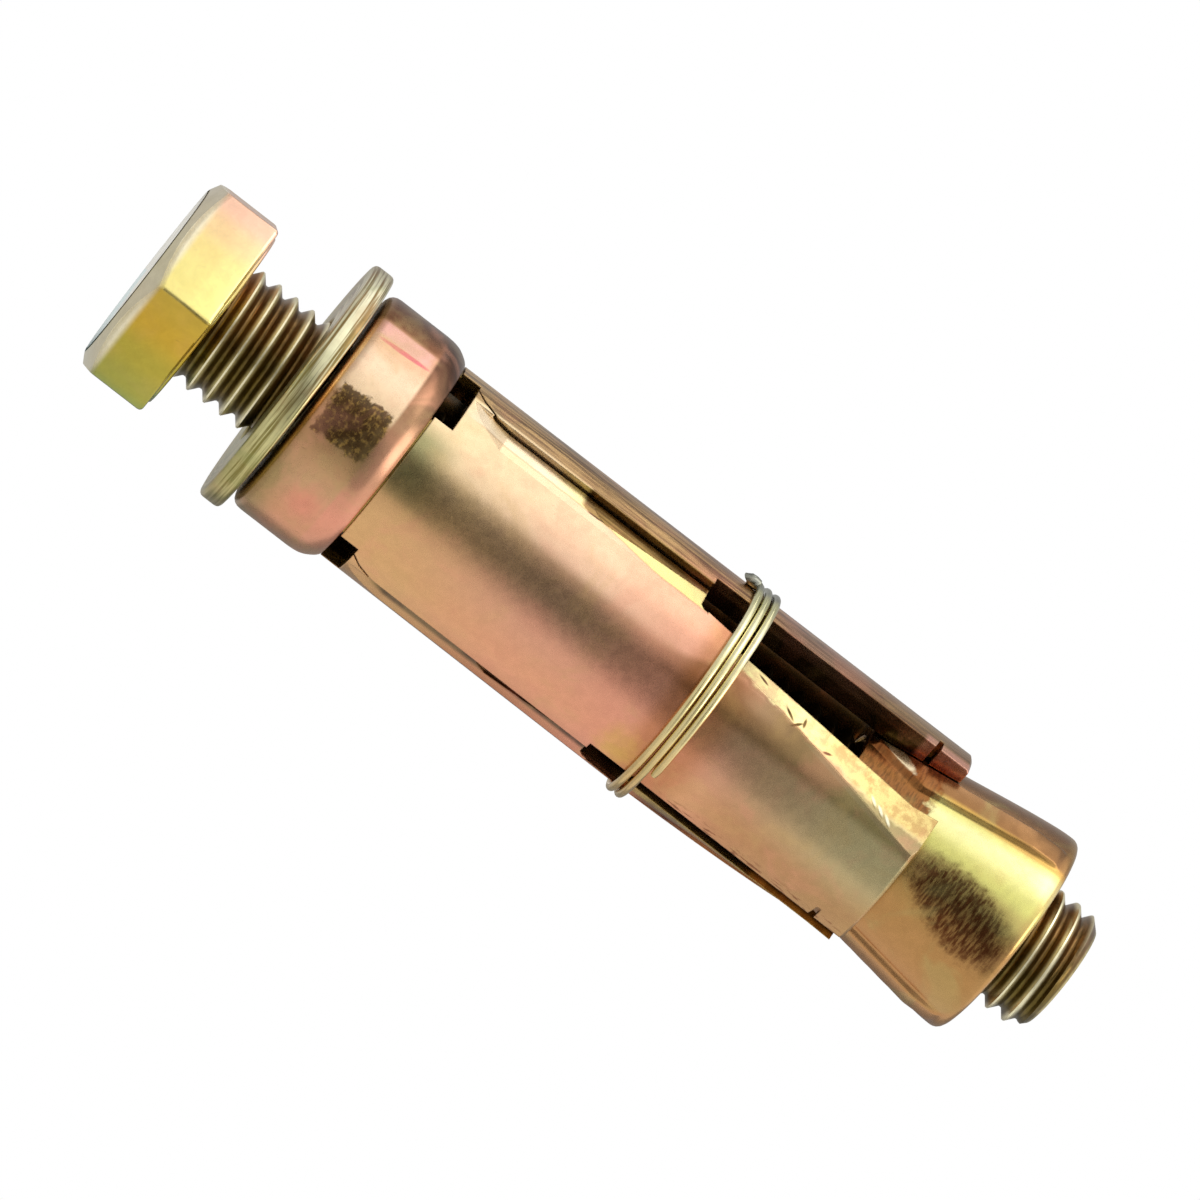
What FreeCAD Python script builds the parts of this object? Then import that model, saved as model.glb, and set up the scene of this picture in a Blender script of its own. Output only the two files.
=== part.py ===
import FreeCAD, Part
import math
import os
from FreeCAD import Vector

# Loose-bolt shield anchor, M12. It stands on the hex head: the origin is the
# centre of the head's top face, +Z runs along the bolt towards its tip.
# The first shield segment faces -Y. Lengths are in mm, angles in degrees.

# Bolt
bolt_d = 12.0
bolt_length = 91.0
bolt_tip_chamfer = 1.1
head_flats = 19.0
head_height = 7.0
head_chamfer_angle = 30.0
head_face_d = 17.1
bearing_face_d = 17.4
bearing_face_height = 0.3
head_turn = 27.0

# Washer
washer_d = 24.4
washer_bore = bolt_d + 1.0
washer_thick = 2.1
washer_edge = 0.35
bare_thread = 7.9

# Collar
collar_d = 22.2
collar_height = 8.7
collar_wall = 1.1
collar_bore = bolt_d + 1.6
collar_corner = 0.8
lip_height = 2.1
lip_thick = 0.9
lip_bite = 0.4
washer_to_collar = 0.4

# Shield segments
segment_count = 3
shield_d = 20.0
shield_end_d = 20.5
shield_bore = bolt_d + 3.4
segment_length = 61.8
segment_end_round = 0.25
segment_to_collar = 0.15
segment_to_flange = 0.2
lip_clearance = 0.15
seam_width = 0.3
seam_width_in_collar = 0.5

# Openings at each joint between two segments. "near" is the side of the
# segment that has the stepped edge, "far" the side of its neighbour.
collar_window_reach = 2.0
collar_window_near = 4.2
collar_window_far = 2.6
seam_bend_far = 1.8
seam_bend_length = 2.6
step_start = 23.6
step_end = 36.2
step_depth = 0.7
step_near_start = 2.0
step_near_end = 0.85
step_rise = 2.1
edge_flat_start = 10.9
edge_flat_run_out = 4.0
edge_flat_angle = 17.2
edge_flat_tilt = 19.2
slot_near_start = 3.0
slot_near_ring = 3.6
slot_near_end = 5.0
slot_far = 1.15
slot_corner = 0.4
slot_notch_from_end = 3.6
slot_notch_width = 0.6
slot_notch_depth = 1.5
slot_bevel_depth = 0.85
slot_bevel_width_start = 1.5
slot_bevel_width_end = 3.2

# Spring ring
wire_d = 0.74
ring_pitch = 0.85
ring_turns = 2.35
ring_from_collar = 32.2
ring_clearance = 0.03
ring_end_angle = 184.0
ring_step_angle = 10.0

# Expander nut
nut_length = 20.2
nut_small_d = bolt_d + 2.3
nut_cone_angle = 9.0
nut_large_d = 19.9
nut_corner = 1.1
nut_mouth_chamfer = 0.8
nut_seat_length = 8.3
nut_seat_gap = 0.3
nut_to_thread = 0.05
key_height = 0.5
key_near = 1.75
key_far = 0.7
key_lead = 5.0
key_start = 0.6

# Levels along the bolt
washer_z = head_height + bare_thread
collar_z = washer_z + washer_thick + washer_to_collar
collar_end_z = collar_z + collar_height
lip_z = collar_end_z - lip_height
segment_z = collar_z + collar_wall + segment_to_flange
segment_end_z = segment_z + segment_length
step_z = collar_z + step_start
slot_z = collar_z + step_end
ring_z = collar_end_z + ring_from_collar
nut_z = segment_end_z - nut_seat_length
nut_end_z = nut_z + nut_length
bolt_tip_z = head_height + bolt_length

collar_r = collar_d / 2
collar_inner_r = collar_r - collar_wall
shield_r = shield_d / 2
shield_end_r = shield_end_d / 2
joint_angle = 360.0 / segment_count
first_segment_angle = 270.0
cut_margin = 1.0


def cone_radius(z):
    """Radius of the nut's cone at height z."""
    return nut_small_d / 2 + (z - nut_z) * math.tan(math.radians(nut_cone_angle))


def shield_radius(z):
    """Outer radius of the shield below the collar."""
    share = (z - collar_end_z) / (segment_end_z - collar_end_z)
    return shield_r + (shield_end_r - shield_r) * share


def line(a, b):
    return Part.LineSegment(a, b).toShape()


def arc(a, middle, b):
    return Part.Arc(a, middle, b).toShape()


def rz(radius, z):
    """Point of a half profile in the XZ plane."""
    return Vector(radius, 0, z)


def corner_middle(centre, radius, start_angle, end_angle):
    """Middle point of a rounded corner of a half profile."""
    middle = math.radians((start_angle + end_angle) / 2)
    return centre + Vector(radius * math.cos(middle), 0, radius * math.sin(middle))


def revolve(edges):
    """Solid of revolution about the bolt's axis."""
    face = Part.Face(Part.Wire(Part.__sortEdges__(edges)))
    return face.revolve(Vector(0, 0, 0), Vector(0, 0, 1), 360)


def chain(points):
    """Edges that join the points in a closed loop."""
    return [line(a, b) for a, b in zip(points, points[1:] + points[:1])]


def turned(shape, angle):
    """Copy of a shape, turned about the bolt's axis."""
    copy = shape.copy()
    copy.rotate(Vector(0, 0, 0), Vector(0, 0, 1), angle)
    return copy


def radial_prism(outline, inner, outer):
    """Outline of (sideways, z) points pushed outwards along +X."""
    points = [Vector(inner, s, z) for s, z in outline]
    wire = Part.makePolygon(points + points[:1])
    return Part.Face(wire).extrude(Vector(outer - inner, 0, 0))


def chamfered_rod(radius, z0, z1, chamfer0, chamfer1):
    """Round rod with a chamfer at each end."""
    points = [
        rz(0, z0),
        rz(radius - chamfer0, z0),
        rz(radius, z0 + chamfer0),
        rz(radius, z1 - chamfer1),
        rz(radius - chamfer1, z1),
        rz(0, z1),
    ]
    clean = [p for p, q in zip(points, points[1:] + points[:1]) if p.distanceToPoint(q) > 1e-6]
    return revolve(chain(clean))


def make_bolt():
    """Hex head with a 30 degree chamfered top, a bearing face and a shank."""
    corner_r = head_flats / 2 / math.cos(math.radians(30))
    corners = [
        Vector(corner_r * math.cos(math.radians(60 * k)), corner_r * math.sin(math.radians(60 * k)), 0)
        for k in range(6)
    ]
    hexagon = Part.Face(Part.makePolygon(corners + corners[:1]))
    hexagon = hexagon.extrude(Vector(0, 0, head_height - bearing_face_height))
    rise = (corner_r - head_face_d / 2) * math.tan(math.radians(head_chamfer_angle))
    envelope = revolve(chain([
        rz(0, 0),
        rz(head_face_d / 2, 0),
        rz(corner_r, rise),
        rz(corner_r + cut_margin, rise),
        rz(corner_r + cut_margin, head_height),
        rz(0, head_height),
    ]))
    head = hexagon.common(envelope)
    bearing_face = Part.makeCylinder(
        bearing_face_d / 2, bearing_face_height, Vector(0, 0, head_height - bearing_face_height))
    shank = chamfered_rod(bolt_d / 2, head_height, bolt_tip_z, 0, bolt_tip_chamfer)
    bolt = head.fuse([bearing_face, shank]).removeSplitter()
    return turned(bolt, head_turn)


def make_washer():
    """Plain washer with its rim slightly rounded by plating."""
    inner = washer_bore / 2
    outer = washer_d / 2
    top = washer_z + washer_thick
    return revolve(chain([
        rz(inner, washer_z),
        rz(outer - washer_edge, washer_z),
        rz(outer, washer_z + washer_edge),
        rz(outer, top - washer_edge),
        rz(outer - washer_edge, top),
        rz(inner, top),
    ]))


def make_collar():
    """Pressed cup with a flange on top and a lip rolled in at its mouth."""
    bore = collar_bore / 2
    corner = Vector(collar_r - collar_corner, 0, collar_z + collar_corner)
    groove_r = shield_r - lip_bite
    lip_tip_r = groove_r + lip_clearance
    lip_out = rz(shield_r + lip_clearance / 2, collar_end_z)
    lip_middle = rz(
        collar_r - 0.3 * (collar_r - shield_r), collar_end_z - 0.4 * lip_height)
    under_flange = collar_z + collar_wall
    edges = [
        line(rz(bore, collar_z), rz(collar_r - collar_corner, collar_z)),
        arc(
            rz(collar_r - collar_corner, collar_z),
            corner_middle(corner, collar_corner, -90, 0),
            rz(collar_r, collar_z + collar_corner)),
        line(rz(collar_r, collar_z + collar_corner), rz(collar_r, lip_z)),
        arc(rz(collar_r, lip_z), lip_middle, lip_out),
        line(lip_out, rz(lip_tip_r, collar_end_z)),
        line(rz(lip_tip_r, collar_end_z), rz(lip_tip_r, collar_end_z - lip_thick)),
        line(
            rz(lip_tip_r, collar_end_z - lip_thick),
            rz(collar_inner_r, collar_end_z - lip_thick - 2 * lip_bite)),
        line(
            rz(collar_inner_r, collar_end_z - lip_thick - 2 * lip_bite),
            rz(collar_inner_r, under_flange)),
        line(rz(collar_inner_r, under_flange), rz(bore, under_flange)),
        line(rz(bore, under_flange), rz(bore, collar_z)),
    ]
    return revolve(edges)


def shield_blank():
    """All segments as one turned tube: neck, lip groove, bore and cone seat."""
    neck_r = collar_inner_r - segment_to_collar
    groove_r = shield_r - lip_bite
    bore_r = shield_bore / 2
    groove_top = collar_end_z - lip_thick - lip_clearance - lip_bite
    groove_end = collar_end_z + lip_clearance
    seat_r = cone_radius(segment_end_z) + nut_seat_gap
    seat_z = nut_z + (bore_r - nut_seat_gap - nut_small_d / 2) / math.tan(math.radians(nut_cone_angle))
    end_r = shield_end_r
    return revolve(chain([
        rz(bore_r, segment_z),
        rz(neck_r, segment_z),
        rz(neck_r, groove_top - (neck_r - groove_r)),
        rz(groove_r, groove_top),
        rz(groove_r, groove_end),
        rz(shield_r, groove_end),
        rz(end_r, segment_end_z - segment_end_round),
        rz(end_r - segment_end_round, segment_end_z),
        rz(seat_r, segment_end_z),
        rz(bore_r, seat_z),
    ]))


def joint_opening():
    """Everything that parts two neighbours: seam, windows and tapered slot."""
    outer = collar_r + cut_margin
    seam = seam_width / 2
    inner_seam = seam_width_in_collar / 2
    top = segment_z - cut_margin
    bottom = segment_end_z + cut_margin
    window_end = collar_end_z + collar_window_reach
    window_top = lip_z - lip_bite
    bend_end = window_end + seam_bend_length
    in_collar = radial_prism(
        [(-inner_seam, top), (inner_seam, top), (inner_seam, window_top + 0.1),
         (-inner_seam, window_top + 0.1)], 0, outer)
    window = radial_prism(
        [(-collar_window_far, window_top), (collar_window_near, window_top),
         (collar_window_near, window_end), (-collar_window_far, window_end)], 0, outer)
    bend = [
        (-seam_bend_far, window_end - 0.1),
        (-seam_bend_far * 0.45, window_end + 0.36 * seam_bend_length),
        (0.0, bend_end),
        (0.0, slot_z + 0.1),
    ]
    seam_line = radial_prism(
        [(s - seam, z) for s, z in bend] + [(s + seam, z) for s, z in reversed(bend)], 0, outer)
    notch_z = segment_end_z - slot_notch_from_end
    slot = radial_prism(
        [
            (-slot_far, slot_z),
            (slot_near_start - slot_corner, slot_z),
            (slot_near_start, slot_z + slot_corner),
            (slot_near_ring, ring_z + 2 * ring_pitch),
            (slot_near_end, segment_end_z - slot_near_end / 2),
            (slot_near_end - slot_corner, bottom),
            (-slot_far, bottom),
            (-slot_far, notch_z + slot_notch_width),
            (-slot_far - slot_notch_depth, notch_z + slot_notch_width),
            (-slot_far - slot_notch_depth, notch_z + 0.3 * slot_notch_width),
            (-slot_far, notch_z),
        ], 0, outer)
    return in_collar.fuse([window, seam_line, slot])


def step_cut():
    """Stepped edge: the skin is set back, a ledge below it reaches the seam."""
    outer = collar_r + cut_margin
    outline = [
        (0, step_z),
        (0.3 * step_near_start, step_z + 0.24 * step_rise),
        (0.7 * step_near_start, step_z + 0.52 * step_rise),
        (step_near_start, step_z + step_rise),
        (step_near_end, slot_z + 0.1),
        (0, slot_z + 0.1),
    ]
    ledge_r = shield_radius((step_z + slot_z) / 2) - step_depth
    ledge = Part.makeCylinder(ledge_r, segment_length, Vector(0, 0, segment_z))
    return radial_prism(outline, 0, outer).cut(ledge)


def edge_flat():
    """Flat along the stepped edge, where the pressing turns inwards."""
    depth = shield_r * math.cos(math.radians(edge_flat_tilt))
    start = collar_z + edge_flat_start
    end = slot_z + ring_pitch
    outer = collar_r + cut_margin
    sides = [
        (shield_r, start),
        (outer, start),
        (outer, end),
        (depth, end),
        (depth, start + edge_flat_run_out),
    ]
    points = [Vector(x, seam_width, z) for x, z in sides]
    flat = Part.Face(Part.makePolygon(points + points[:1]))
    flat = flat.extrude(Vector(0, 2 * shield_r, 0))
    return turned(flat, edge_flat_angle - edge_flat_tilt)


def bevel_section(z, edge_s, width):
    """Triangle that takes the corner off the slot's near edge at height z."""
    skin = shield_radius(z) + 0.02
    edge_x = math.sqrt(skin ** 2 - edge_s ** 2) - slot_bevel_depth
    bend_s = edge_s + width
    bend_x = math.sqrt(skin ** 2 - bend_s ** 2)
    slope = (edge_x - bend_x) / (edge_s - bend_s)
    over_s = edge_s - width
    over_x = edge_x - width * slope
    points = [
        Vector(bend_x, bend_s, z),
        Vector(over_x, over_s, z),
        Vector(collar_r + cut_margin, over_s, z),
        Vector(collar_r + cut_margin, bend_s, z),
    ]
    return Part.makePolygon(points + points[:1])


def slot_bevel():
    """Widening bevel along the slot's near edge, below the ring."""
    start = bevel_section(ring_z, slot_near_ring, slot_bevel_width_start)
    end = bevel_section(segment_end_z + 0.1, slot_near_end, slot_bevel_width_end)
    return Part.makeLoft([start, end], True, True)


def make_segments():
    """The pressed segments, parted from the turned blank at their joints."""
    shield = shield_blank()
    for index in range(segment_count):
        joint = first_segment_angle - (index + 0.5) * joint_angle
        for cutter in (joint_opening(), step_cut(), edge_flat(), slot_bevel()):
            shield = shield.cut(turned(cutter, joint))
    first = math.radians(first_segment_angle)

    def turn_from_first(solid):
        angle = math.atan2(solid.CenterOfMass.y, solid.CenterOfMass.x)
        return (first - angle + 0.1) % (2 * math.pi)

    return sorted(shield.Solids, key=turn_from_first)


def make_ring():
    """Spring wire wound round the segments: round sections along a helix, joined one by one."""
    coil_height = ring_pitch * ring_turns
    start_z = ring_z - coil_height / 2
    steps = math.ceil(ring_turns * 360 / ring_step_angle)
    step_angle = ring_turns * 360 / steps
    touch_r = shield_radius(ring_z + coil_height / 2) + ring_clearance + wire_d / 2
    coil_r = touch_r / math.cos(math.radians(step_angle / 2))
    way = Vector(0, 2 * math.pi * coil_r, ring_pitch)
    section = Part.Wire(Part.makeCircle(wire_d / 2, Vector(coil_r, 0, start_z), way))
    sections = []
    for k in range(steps + 1):
        copy = turned(section, step_angle * k)
        copy.translate(Vector(0, 0, coil_height * k / steps))
        sections.append(copy)
    return turned(Part.makeLoft(sections, True, True), ring_end_angle)


def nut_key():
    """Raised key on the cone that rides in the slot between two segments."""
    lead_z = nut_z + key_start
    outline = [
        (-key_far, lead_z),
        (0, lead_z),
        (key_near + 0.3, lead_z + key_lead),
        (key_near, nut_end_z - nut_corner),
        (-key_far, nut_end_z - nut_corner),
    ]
    bar = radial_prism(outline, nut_small_d / 4, collar_r)
    cap_start_r = cone_radius(nut_z) + key_height
    slope = math.tan(math.radians(nut_cone_angle))
    cap_end_r = cap_start_r + nut_length * slope
    cap = revolve(chain([
        rz(0, nut_z),
        rz(cap_start_r, nut_z),
        rz(cap_end_r, nut_end_z),
        rz(0, nut_end_z),
    ]))
    limit = Part.makeCylinder(nut_large_d / 2 + key_height / 2, nut_length, Vector(0, 0, nut_z))
    return bar.common(cap).common(limit)


def make_nut():
    """Tapered expander nut with a rounded wide end and one key per slot."""
    bore = bolt_d / 2 + nut_to_thread
    slope = math.tan(math.radians(nut_cone_angle))
    large_r = nut_large_d / 2
    small_r = nut_small_d / 2
    bend_z = nut_z + (large_r - small_r) / slope
    round_z = nut_end_z - nut_corner
    cone_z = min(bend_z, round_z) - nut_corner
    cone_r = cone_radius(cone_z)
    corner = Vector(large_r - nut_corner, 0, round_z)
    belly = rz((cone_r + large_r) / 2 + 0.06, (cone_z + round_z) / 2)
    edges = [
        line(rz(bore, nut_z), rz(small_r, nut_z)),
        line(rz(small_r, nut_z), rz(cone_r, cone_z)),
        arc(rz(cone_r, cone_z), belly, rz(large_r, round_z)),
        arc(
            rz(large_r, round_z),
            corner_middle(corner, nut_corner, 0, 90),
            rz(large_r - nut_corner, nut_end_z)),
        line(rz(large_r - nut_corner, nut_end_z), rz(bore + nut_mouth_chamfer, nut_end_z)),
        line(rz(bore + nut_mouth_chamfer, nut_end_z), rz(bore, nut_end_z - nut_mouth_chamfer)),
        line(rz(bore, nut_end_z - nut_mouth_chamfer), rz(bore, nut_z)),
    ]
    nut = revolve(edges)
    keys = [
        turned(nut_key(), first_segment_angle - (index + 0.5) * joint_angle)
        for index in range(segment_count)
    ]
    bore_pin = Part.makeCylinder(bore, nut_length, Vector(0, 0, nut_z))
    return nut.fuse([key.cut(bore_pin) for key in keys]).removeSplitter()


def export(name, shape):
    """Check a piece and write it as a STEP file."""
    solids = shape.Solids
    shape = solids[0] if len(solids) == 1 else shape
    print(name, "solids", len(solids), "valid", shape.isValid(), "volume", round(shape.Volume, 2))
    shape.exportStep("parts/" + name + ".step")


os.makedirs("parts", exist_ok=True)
export("hex_bolt", make_bolt())
export("washer", make_washer())
export("collar", make_collar())
for number, segment in enumerate(make_segments()):
    export("shield_segment_%d" % (number + 1), segment)
export("spring_ring", make_ring())
export("expander_nut", make_nut())
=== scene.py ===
import math

import bmesh
import bpy
from mathutils import Matrix, Vector


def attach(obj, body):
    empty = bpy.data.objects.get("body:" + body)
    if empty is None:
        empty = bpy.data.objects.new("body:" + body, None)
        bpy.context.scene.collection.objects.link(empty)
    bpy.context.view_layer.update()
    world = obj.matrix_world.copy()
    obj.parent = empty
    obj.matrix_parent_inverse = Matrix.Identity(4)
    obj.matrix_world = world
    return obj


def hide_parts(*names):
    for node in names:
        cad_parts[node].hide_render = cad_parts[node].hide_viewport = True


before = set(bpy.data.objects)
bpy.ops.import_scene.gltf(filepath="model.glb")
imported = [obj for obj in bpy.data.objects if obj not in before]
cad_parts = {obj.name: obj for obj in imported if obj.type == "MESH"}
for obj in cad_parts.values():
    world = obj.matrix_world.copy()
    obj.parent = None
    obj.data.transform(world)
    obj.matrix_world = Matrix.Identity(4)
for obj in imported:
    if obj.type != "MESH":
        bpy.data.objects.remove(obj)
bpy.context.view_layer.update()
print("frame loaded")

# Lengths are in mm and angles in degrees until a mesh is made
mm = 0.001
viewerAngle = 265.0  # the camera's azimuth, from which the paint's angles are counted
jointAngles = (210.0, 90.0, 330.0)  # azimuths of the seams between the segments
segmentAngles = (270.0, 150.0, 30.0)
arcPerDegree = 0.1745  # at a radius of 10 mm


def linear(code):
    channels = ((code >> 16) & 255, (code >> 8) & 255, code & 255)
    parts = [c / 255 / 12.92 if c <= 10 else ((c / 255 + 0.055) / 1.055) ** 2.4 for c in channels]
    return (*parts, 1.0)


def toned(tones):
    return {name: linear(code) for name, code in tones.items()}


# Shader helpers

def addNode(tree, kind, settings=None, inputs=None):
    node = tree.nodes.new("ShaderNode" + kind)
    for key, value in (settings or {}).items():
        setattr(node, key, value)
    for key, value in (inputs or {}).items():
        if isinstance(value, bpy.types.NodeSocket):
            tree.links.new(value, node.inputs[key])
        else:
            node.inputs[key].default_value = value
    return node


def calc(tree, operation, a, b=None, c=None):
    values = {index: v for index, v in enumerate((a, b, c)) if v is not None}
    return addNode(tree, "Math", {"operation": operation}, values).outputs[0]


def both(tree, *masks):
    product = masks[0]
    for mask in masks[1:]:
        product = calc(tree, "MULTIPLY", product, mask)
    return product


def mixed(tree, factor, a, b, kind="MIX"):
    settings = {"data_type": "RGBA", "blend_type": kind, "clamp_factor": True}
    return addNode(tree, "Mix", settings, {0: factor, 6: a, 7: b}).outputs[2]


def over(tree, base, mask, strength, colour):
    # The base with a colour laid over it where the mask is
    return mixed(tree, both(tree, mask, strength), base, colour)


def ranged(tree, value, low, high, outLow=0.0, outHigh=1.0, smooth=True):
    settings = {"interpolation_type": "SMOOTHSTEP" if smooth else "LINEAR"}
    inputs = {0: value, 1: low, 2: high, 3: outLow, 4: outHigh}
    return addNode(tree, "MapRange", settings, inputs).outputs[0]


def between(tree, value, low, high, edge):
    rising = ranged(tree, value, low - edge, low + edge)
    return both(tree, rising, ranged(tree, value, high + edge, high - edge))


def frontFade(tree, angle, low, high):
    # Rises from low to high and sinks again before the back, so that both sides meet there
    return both(tree, ranged(tree, angle, low, high), ranged(tree, angle, 178.0, 110.0))


def cloud(tree, vector, scale, detail=3.0, rough=0.55, distortion=0.0):
    inputs = {
        "Vector": vector, "Scale": scale, "Detail": detail, "Roughness": rough, "Distortion": distortion}
    return addNode(tree, "TexNoise", None, inputs).outputs[0]


def wander(tree, vector, scale, detail, rough, reach):
    centred = calc(tree, "SUBTRACT", cloud(tree, vector, scale, detail, rough), 0.5)
    return calc(tree, "MULTIPLY", centred, reach)


def angleRamp(tree, angle, stops, ease="LINEAR"):
    # Colours by angle round the bolt, counted from the viewer's side, so that they also paint highlight and
    # shade bands
    share = calc(tree, "DIVIDE", calc(tree, "ADD", angle, 180.0), 360.0)
    node = addNode(tree, "ValToRGB", None, {0: share})
    node.color_ramp.interpolation = ease
    elements = node.color_ramp.elements
    while len(elements) < len(stops):
        elements.new(0.5)
    for element, (stopAngle, code) in zip(elements, sorted(stops)):
        element.position = (stopAngle + 180.0) / 360.0
        element.color = linear(code)
    return node.outputs[0]


def newGroup(name, inputs, outputs):
    tree = bpy.data.node_groups.new(name, "ShaderNodeTree")
    for kind, direction in ((inputs, "INPUT"), (outputs, "OUTPUT")):
        for label, socketType, *default in kind:
            fullType = "NodeSocket" + socketType
            socket = tree.interface.new_socket(name=label, in_out=direction, socket_type=fullType)
            if default:
                socket.default_value = default[0]
    start = tree.nodes.new("NodeGroupInput")
    end = tree.nodes.new("NodeGroupOutput")
    return tree, start.outputs, end.inputs


def useGroup(tree, group, **inputs):
    return addNode(tree, "Group", {"node_tree": group}, inputs).outputs


# Place on the anchor: angle from the viewer's side, height, radius
placeGroup, _, placeOut = newGroup("place", [], [
    ("Angle", "Float"), ("Height", "Float"), ("Radius", "Float"), ("Flat", "Vector"), ("Point", "Vector")])
coords = addNode(placeGroup, "TexCoord")
scaled = addNode(placeGroup, "VectorMath", {"operation": "SCALE"}, {
    0: coords.outputs["Object"], 3: 1 / mm})
parts = addNode(placeGroup, "SeparateXYZ", None, {0: scaled.outputs[0]}).outputs
azimuth = calc(placeGroup, "MULTIPLY", calc(placeGroup, "ARCTAN2", parts[1], parts[0]), 180 / math.pi)
angle = calc(placeGroup, "WRAP", calc(placeGroup, "SUBTRACT", viewerAngle, azimuth), 180.0, -180.0)
radiusSquared = calc(placeGroup, "ADD", *(both(placeGroup, part, part) for part in parts[:2]))
flat = addNode(placeGroup, "CombineXYZ", None, {
    0: calc(placeGroup, "MULTIPLY", angle, arcPerDegree), 1: parts[2], 2: 0.0}).outputs[0]
placeParts = {
    "Angle": angle, "Height": parts[2], "Radius": calc(placeGroup, "SQRT", radiusSquared), "Flat": flat,
    "Point": scaled.outputs[0]}
for label, socket in placeParts.items():
    placeGroup.links.new(socket, placeOut[label])

# A spot with a frayed edge, at an angle and height
spotGroup, spotIn, spotOut = newGroup("spot", [
    ("Flat", "Vector"), ("AngleAt", "Float", 0.0), ("HeightAt", "Float", 0.0), ("Wide", "Float", 1.0),
    ("Tall", "Float", 1.0), ("Turn", "Float", 0.0), ("Fray", "Float", 0.3), ("Grain", "Float", 1.2),
    ("Soft", "Float", 0.4)], [("Mask", "Float")])
spotParts = addNode(spotGroup, "SeparateXYZ", None, {0: spotIn["Flat"]}).outputs
arcAt = calc(spotGroup, "MULTIPLY", spotIn["AngleAt"], arcPerDegree)
across = calc(spotGroup, "SUBTRACT", spotParts[0], arcAt)
along = calc(spotGroup, "SUBTRACT", spotParts[1], spotIn["HeightAt"])
turn = calc(spotGroup, "RADIANS", spotIn["Turn"])
cosine = calc(spotGroup, "COSINE", turn)
sine = calc(spotGroup, "SINE", turn)
turnedX = calc(spotGroup, "ADD", both(spotGroup, across, cosine), both(spotGroup, along, sine))
turnedY = calc(spotGroup, "SUBTRACT", both(spotGroup, along, cosine), both(spotGroup, across, sine))
shareX = calc(spotGroup, "DIVIDE", turnedX, spotIn["Wide"])
shareY = calc(spotGroup, "DIVIDE", turnedY, spotIn["Tall"])
shareSquared = calc(spotGroup, "ADD", both(spotGroup, shareX, shareX), both(spotGroup, shareY, shareY))
fray = both(spotGroup, wander(spotGroup, spotIn["Flat"], spotIn["Grain"], 5.0, 0.65, 4.0), spotIn["Fray"])
frayed = calc(spotGroup, "ADD", calc(spotGroup, "SQRT", shareSquared), fray)
inner = calc(spotGroup, "SUBTRACT", 1.0, spotIn["Soft"])
spotGroup.links.new(ranged(spotGroup, frayed, 1.0, inner), spotOut["Mask"])

# Plating: cloudy colour shift, fine grain, roughness and relief
platingGroup, platingIn, platingOut = newGroup("plating", [
    ("Point", "Vector"), ("Colour", "Color", (0.8, 0.6, 0.4, 1)), ("Warm", "Color", (0.8, 0.5, 0.35, 1)),
    ("Cool", "Color", (0.6, 0.6, 0.3, 1)), ("Shift", "Float", 0.35), ("Rough", "Float", 0.3)],
    [("Colour", "Color"), ("Roughness", "Float"), ("Height", "Float")])
broad = cloud(platingGroup, platingIn["Point"], 0.22, 3.0, 0.6, 0.6)
middle = cloud(platingGroup, platingIn["Point"], 1.1, 4.0, 0.6, 0.3)
fine = cloud(platingGroup, platingIn["Point"], 7.0, 3.0, 0.7)
warmMask = both(platingGroup, ranged(platingGroup, broad, 0.5, 0.72), platingIn["Shift"])
coolMask = both(platingGroup, ranged(platingGroup, broad, 0.5, 0.3), platingIn["Shift"])
tinted = mixed(platingGroup, warmMask, platingIn["Colour"], platingIn["Warm"])
tinted = mixed(platingGroup, coolMask, tinted, platingIn["Cool"])
shade = both(platingGroup, ranged(platingGroup, middle, 0.35, 0.7, 0.93, 1.03, False),
             ranged(platingGroup, fine, 0.3, 0.7, 0.97, 1.02, False))
grey = addNode(platingGroup, "CombineColor", None, {0: shade, 1: shade, 2: shade}).outputs[0]
platingGroup.links.new(mixed(platingGroup, 1.0, tinted, grey, "MULTIPLY"), platingOut["Colour"])
cloudySpeckle = calc(platingGroup, "MULTIPLY", calc(platingGroup, "SUBTRACT", middle, 0.5), 0.1)
fineSpeckle = calc(platingGroup, "MULTIPLY", calc(platingGroup, "SUBTRACT", fine, 0.5), 0.07)
speckle = calc(platingGroup, "ADD", cloudySpeckle, fineSpeckle)
platingGroup.links.new(calc(platingGroup, "ADD", platingIn["Rough"], speckle), platingOut["Roughness"])
relief = calc(platingGroup, "ADD", calc(platingGroup, "MULTIPLY", fine, 0.5), middle)
platingGroup.links.new(relief, platingOut["Height"])

# Fine scratches, leaning a little from the bolt's direction
scratchGroup, scratchIn, scratchOut = newGroup("scratches", [
    ("Flat", "Vector"), ("Density", "Float", 0.5), ("Lean", "Float", 0.0)], [("Mask", "Float")])
leaned = addNode(scratchGroup, "VectorRotate", {"rotation_type": "Z_AXIS"}, {
    "Vector": scratchIn["Flat"], "Angle": calc(scratchGroup, "RADIANS", scratchIn["Lean"])}).outputs[0]
stretched = addNode(scratchGroup, "VectorMath", {"operation": "MULTIPLY"}, {
    0: leaned, 1: (5.0, 0.35, 1.0)}).outputs[0]
streaks = cloud(scratchGroup, stretched, 1.0, 2.0, 0.5)
breaks = cloud(scratchGroup, scratchIn["Flat"], 0.5, 2.0, 0.5)
limit = ranged(scratchGroup, scratchIn["Density"], 0.0, 1.0, 0.82, 0.6, False)
thin = ranged(scratchGroup, streaks, limit, calc(scratchGroup, "ADD", limit, 0.04))
scratchGroup.links.new(both(scratchGroup, thin, ranged(scratchGroup, breaks, 0.45, 0.6)), scratchOut["Mask"])

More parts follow.
